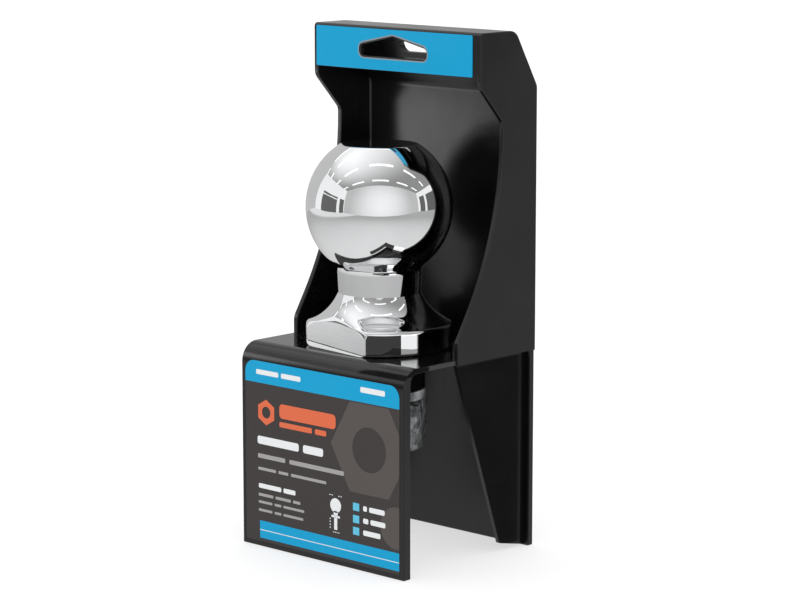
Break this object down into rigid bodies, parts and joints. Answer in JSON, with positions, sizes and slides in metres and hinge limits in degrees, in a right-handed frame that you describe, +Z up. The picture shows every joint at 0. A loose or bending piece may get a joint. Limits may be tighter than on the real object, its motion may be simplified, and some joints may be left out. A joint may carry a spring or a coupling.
{
  "type": "trailer hitch ball on a retail display stand",
  "caption": "Chrome trailer hitch ball with threaded shank, lock washer and hex nut, clamped to the shelf of a black moulded display stand with blank printed labels.",
  "frame": {"origin": "bottom centre of the bounding box, on the surface the stand rests on", "axes": "+Z up along the ball's shank axis, +Y from the front label to the back panel, +X across the stand"},
  "size_m": [0.0734, 0.0624, 0.1695],
  "materials": {
    "stand_plastic": "moulded, satin outside and glossy inside",
    "label_blue": "printed film",
    "label_dark": "printed film",
    "chrome": "polished chrome plate",
    "washer_zinc": "bright zinc plate",
    "nut_zinc": "bright zinc plate"
  },
  "bodies": {
    "stand": {"display_stand": "stand_plastic", "header_label": "label_blue", "front_label": "label_dark"},
    "ball": {"hitch_ball": "chrome"},
    "washer": {"lock_washer": "washer_zinc"},
    "nut": {"hex_nut": "nut_zinc"}
  },
  "joints": [
    {"name": "ball_turn", "type": "hinge", "parent": "stand", "child": "ball", "pos_m": [0, -0.0037, 0.0671], "axis": [0, 0, 1], "continuous": true},
    {"name": "washer_drop", "type": "slide", "parent": "ball", "child": "washer", "axis": [0, 0, -1], "range_m": [0, 0.0208]},
    {"name": "nut_spin", "type": "hinge", "parent": "washer", "child": "nut", "pos_m": [0, -0.0037, 0.042], "axis": [0, 0, -1], "range_deg": [0, 2920]}
  ],
  "couplings": [
    {"joint": "washer_drop", "follows": "nut_spin", "m_per_rad": 0.00040425}
  ]
}
